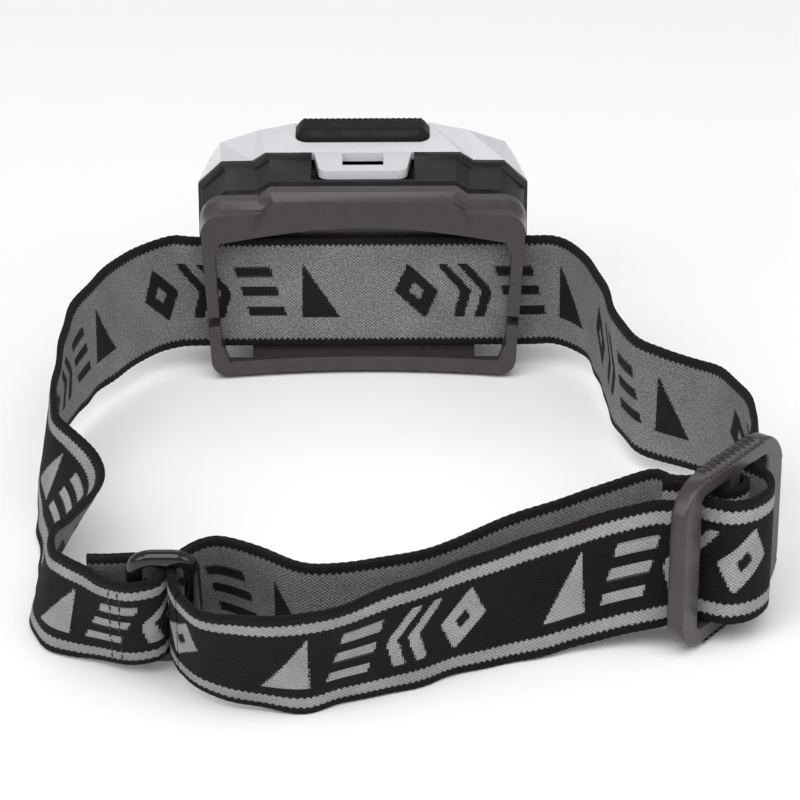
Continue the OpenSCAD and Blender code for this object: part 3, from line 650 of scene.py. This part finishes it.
INNER = [[32.6, 133, 2.4, 32, 144.6], [33.8, 129.6, 3.2, 33.3, 140.9],
         [33.8, 126.8, 4.6, 33.3, 137.4],
         [32, 123.6, 4.4, 31.4, 133.6], [29, 122.4, 4.4, 28.4, 131.2],
         [25, 122, 3.5, 24.9, 129.5], [18, 125.3, 2, 18.2, 131.5],
         [11, 131, 0.8, 11.1, 135.5], [5, 133.3, 0, 5, 134.8],
         [-6.4, 131, 0, -6.3, 132], [-15.4, 126, 0, -15.2, 126.7],
         [-24.6, 120.4, 0.5, -24.2, 119.6], [-33.8, 115.6, 1.5, -33.3, 114.9],
         [-43, 112, 3, -42.5, 111.5], [-52.4, 108.2, 4.2, -51.8, 107.6],
         at(4.3, -9), at(2, -5.6), at(-0.4, -3.4), at(-2.8, -2.6), at(-3.5, 0),
         at(-2.5, 2.4), at(0.4, 3.1), at(3, 2), at(3.9, -1.2), at(4.9, -4.4),
         at(6, -7.4), at(6.9, -9.4)]

STATION = 0.42  # millimetres between cross-sections
HALF_T = 0.62
# where the cross-section has its points, from the lower edge to the upper one
ACROSS = [0, 0.05, 0.16, 0.34, 0.6, 1.0, 1.5, 2.1, 2.4,
          3.0, 3.8, 4.3, 4.7, 6, 7.5, 9, 10.7, 12.5]
ACROSS = np.array(ACROSS + [STRAP_W - a for a in ACROSS[-2::-1]])


def catmull(p, steps=24):
    """Points on a smooth curve through the stations, with so many steps to each gap."""
    p = np.array(p, float)
    q = np.concatenate([p[:1], p, p[-1:]])
    t = (np.arange(steps) / steps)[:, None]
    out = []
    for a, b, c, d in zip(q, q[1:], q[2:], q[3:]):
        out.append(0.5 * (2 * b + (c - a) * t + (2 * a - 5 * b + 4 * c - d) * t**2
                          + (3 * b - a - 3 * c + d) * t**3))
    return np.concatenate(out + [p[-1:]])


def edges(q):
    """Lower and upper edge points of stations, one strap width apart."""
    lo = q[:, :3]
    rise = np.sqrt(STRAP_W**2 - (q[:, 3] - q[:, 0])**2 - (q[:, 4] - q[:, 1])**2)
    return lo, np.stack([q[:, 3], q[:, 4], q[:, 2] + rise], 1)


def stations(route):
    """Evenly spaced cross-sections: edges, unit normals towards the head, and lengths."""
    q = catmull(route)
    lo, hi = edges(q)
    mid = (lo + hi) / 2
    run = np.concatenate([[0], np.cumsum(np.linalg.norm(np.diff(mid, axis=0), axis=1))])
    n = max(3, int(round(run[-1] / STATION)))
    want = np.linspace(0, run[-1], n + 1)
    q = np.stack([np.interp(want, run, q[:, k]) for k in range(5)], 1)
    lo, hi = edges(q)
    mid = (lo + hi) / 2
    tangent = np.gradient(mid, axis=0)
    normal = np.cross(tangent, hi - lo)
    normal /= np.linalg.norm(normal, axis=1)[:, None]
    return lo, hi, normal, want


def freedom(mid):
    """How far the strap may ripple, in millimetres: nothing where hardware holds it."""
    past_side, past_back = np.abs(mid[:, 0]) - 36, mid[:, 1] - 2
    bracket = np.hypot(np.clip(past_side, 0, None), np.clip(past_back, 0, None))
    at_slider = np.hypot(mid[:, 0] - SLIDER_C[0], mid[:, 1] - SLIDER_C[1]) - 15
    at_ring = np.hypot(mid[:, 0] - 37, mid[:, 1] - 131) - 9
    gap = np.minimum(np.minimum(bracket, at_slider), at_ring)
    return np.clip(gap / 12, 0, 1)


def strap(name, route, u0, keep=None, ripple=0.45, seed=1.0):
    """One run of webbing, with rounded, slightly toothed edges and gentle ripples.

    u0 is its distance along the whole strap where it starts, and keep picks the stations
    that belong to it.
    """
    lo, hi, normal, u = stations(route)
    if keep is not None:
        chosen = keep((lo + hi) / 2, u)
        lo, hi, normal, u = lo[chosen], hi[chosen], normal[chosen], u[chosen]
    n, m = len(lo), len(ACROSS)
    w = ACROSS / STRAP_W
    rim = np.minimum(ACROSS, STRAP_W - ACROSS)
    half = HALF_T * np.sqrt(1 - (1 - np.clip(rim / 0.6, 0, 1))**2) + 0.02
    half = half + 0.05 * np.exp(-((rim - 3.35) / 1.0)**2)
    mid = (lo + hi) / 2
    # thicker where two layers press together inside the ring
    pinch = 0.24 * np.exp(-(((mid[:, 0] - 34.6) / 2.2)**2 + ((mid[:, 1] - 132.5) / 5)**2))
    half = half[None, :] + pinch[:, None] * np.clip(rim / 0.6, 0, 1)[None]
    free = freedom(mid)[:, None]
    s = u[:, None] + u0
    low_edge, high_edge = np.clip(1 - w * 1.6, 0, 1)**2, np.clip(w * 1.6 - 0.6, 0, 1)**2
    low_wave = np.sin(s / 3.1 + seed) + 0.7 * np.sin(s / 1.9 + 2.1 * seed)
    high_wave = np.sin(s / 3.7 + 4 * seed) + 0.7 * np.sin(s / 2.3 + seed)
    swell = low_wave * low_edge[None] + high_wave * high_edge[None]
    offset = ripple * 0.5 * swell * free
    tooth = 0.16 * (2 * np.abs((s / 1.64) % 1 - 0.5) - 0.5)
    reach = np.where(w < 0.5, -1, 1) * np.exp(-rim / 0.5)
    up = (hi - lo) / STRAP_W
    point = (lo[:, None] + up[:, None] * (ACROSS[None] + tooth * reach[None])[..., None]
             + normal[:, None] * offset[..., None])
    outer = point - normal[:, None] * half[..., None]
    inner = point + normal[:, None] * half[..., None]
    verts = np.concatenate([outer, inner[:, ::-1]], 1)
    ring = 2 * m
    i, j = np.meshgrid(np.arange(n - 1), np.arange(ring), indexing="ij")
    a, b = i * ring + j, i * ring + (j + 1) % ring
    quads = np.stack([a, b, b + ring, a + ring], -1).reshape(-1, 4)
    mesh = bpy.data.meshes.new(name)
    caps = [tuple(range(ring))[::-1], tuple(range((n - 1) * ring, n * ring))]
    mesh.from_pydata((verts.reshape(-1, 3) * MM).tolist(), [], quads.tolist() + caps)
    ob = new_object(name, mesh, WEB_OUT, WEB_IN)
    v = np.concatenate([ACROSS, ACROSS[::-1]])
    face_j = np.concatenate([j.reshape(-1), [0, 0]])
    mesh.polygons.foreach_set("material_index", (face_j >= m).astype(np.int32))
    uv = mesh.uv_layers.new(name="strap")
    loops = np.zeros(len(mesh.loops), np.int32)
    mesh.loops.foreach_get("vertex_index", loops)
    flat_uv = np.stack([s[loops // ring, 0], v[loops % ring]], 1)
    uv.data.foreach_set("uv", flat_uv.astype(np.float32).reshape(-1))
    smooth(mesh, 60.0)
    return ob


def length(route):
    return float(stations(route)[3][-1])


L_FRONT, L_LOOP, L_OUTER, L_INNER = (length(r) for r in (FRONT, LOOP, OUTER, INNER))
# The front run is split where one of the bracket's uprights hides the cut: the strap is
# still on one side of it, and is not attached to any body on the other.
SPLIT_X = -31
front_lo, front_hi, _, front_u = stations(FRONT)
SPLIT = float(front_u[np.argmax((front_lo + front_hi)[:, 0] / 2 < SPLIT_X)])
left = strap("strap_left", FRONT, 0.0, lambda mid, u: u <= SPLIT, seed=1.3)
right = strap("strap_right", FRONT, 0.0, lambda mid, u: u >= SPLIT - 1e-6, seed=1.3)
loop = strap("strap_loop", LOOP, L_FRONT, ripple=0.0)
outer = strap("strap_outer", OUTER, L_FRONT + L_LOOP, seed=2.2)
inner = strap("strap_inner", INNER, L_FRONT + L_LOOP + L_OUTER, ripple=0.3, seed=3.1)

for piece, node in ((left, "band_front"), (right, "band_front"), (loop, "band_loop"),
                    (outer, "band_outer"), (inner, "band_inner")):
    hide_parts(node)
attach(left, "bracket")
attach(loop, "slider")
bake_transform(right)
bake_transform(outer)
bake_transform(inner)


STITCH_FROM, STITCH_TO, STITCH_L, STITCH_PITCH, STITCH_R = 2.2, 22.4, 1.5, 2.1, 0.17
STITCH_STEPS = 6


def stitches(name, route, rows, body, face=-1):
    """Rows of short thread stitches across the strap, each (distance, lean) along its route."""
    lo, hi, normal, u = stations(route)
    paths = []
    for where, lean in rows:
        v = STITCH_FROM
        while v < STITCH_TO:
            path = []
            for k in range(STITCH_STEPS + 1):
                t = k / STITCH_STEPS
                w = (v + STITCH_L * t) / STRAP_W
                i = int(np.argmin(np.abs(u - (where + lean * w))))
                lift = HALF_T + 0.16 * math.sin(math.pi * t) - 0.08
                path.append(tuple(lo[i] + (hi[i] - lo[i]) * w + face * normal[i] * lift))
            paths.append(path)
            v += STITCH_PITCH
    ob = tube(name, paths, STITCH_R, THREAD, sides=2)
    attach(ob, body)


stitches("stitch_ring", FRONT, [(25.0, 1.0), (27.2, 1.0)], "bracket")
stitches("stitch_slider", INNER, [(L_INNER - 2.2, 0.3), (L_INNER - 4.0, 0.3)], "slider", 1)

# ---------------------------------------------------------------- floor, light, camera


def floor_material():
    s = Shader("pale_floor")
    fine = s.noise(900.0, 3.0)
    s.set(Base_Color=s.mix(fine, (0.965,) * 3, (0.985,) * 3), Roughness=0.9)
    s.bump(fine, 0.02)
    return s.mat


FLOOR_HALF, FLOOR_Z = 6, -2e-4
corners = [(x * FLOOR_HALF, y * FLOOR_HALF, FLOOR_Z)
           for x, y in ((-1, -1), (1, -1), (1, 1), (-1, 1))]
floor_mesh = bpy.data.meshes.new("floor")
floor_mesh.from_pydata(corners, [], [(0, 1, 2, 3)])
new_object("floor", floor_mesh, floor_material())


def area_light(name, spot, target, size, watts):
    """A rectangular soft light at spot, turned to its target."""
    data = bpy.data.lights.new(name, "AREA")
    data.shape = "RECTANGLE"
    data.size, data.size_y = size
    data.energy = watts
    ob = bpy.data.objects.new(name, data)
    bpy.context.scene.collection.objects.link(ob)
    ob.location = spot
    ob.rotation_mode = "QUATERNION"
    ob.rotation_quaternion = (Vector(target) - Vector(spot)).to_track_quat("-Z", "Y")


area_light("top_soft", (0.1, 0.75, 1.05), (0, 0.03, 0), (1.3, 1.0), 12.5)
area_light("left_soft", (1.0, 0.7, 0.65), (0, 0.07, 0.02), (0.7, 0.7), 3.6)
area_light("right_soft", (-1.0, 0.6, 0.6), (0, 0.07, 0.02), (0.7, 0.7), 3.0)
area_light("far_soft", (0.0, -1.3, 1.4), (0, 0, 0.02), (1.2, 0.5), 2.5)

world = bpy.data.worlds.new("studio")
world.use_nodes = True
world.node_tree.nodes["Background"].inputs["Color"].default_value = (1, 1, 1, 1)
world.node_tree.nodes["Background"].inputs["Strength"].default_value = 0.4
bpy.context.scene.world = world
bpy.context.scene.view_settings.view_transform = "Standard"

CAMERA_AT, AIM = Vector((0, 0.6477, 0.2999)), Vector((-0.0070, 0.0606, 0.0210))
camera_data = bpy.data.cameras.new("camera")
camera_data.lens, camera_data.sensor_width = 150.3, 36
camera_data.clip_start, camera_data.clip_end = 0.01, 50
camera = bpy.data.objects.new("camera", camera_data)
bpy.context.scene.collection.objects.link(camera)
camera.location = CAMERA_AT
camera.rotation_mode = "QUATERNION"
camera.rotation_quaternion = (AIM - CAMERA_AT).to_track_quat("-Z", "Y")
bpy.context.scene.camera = camera
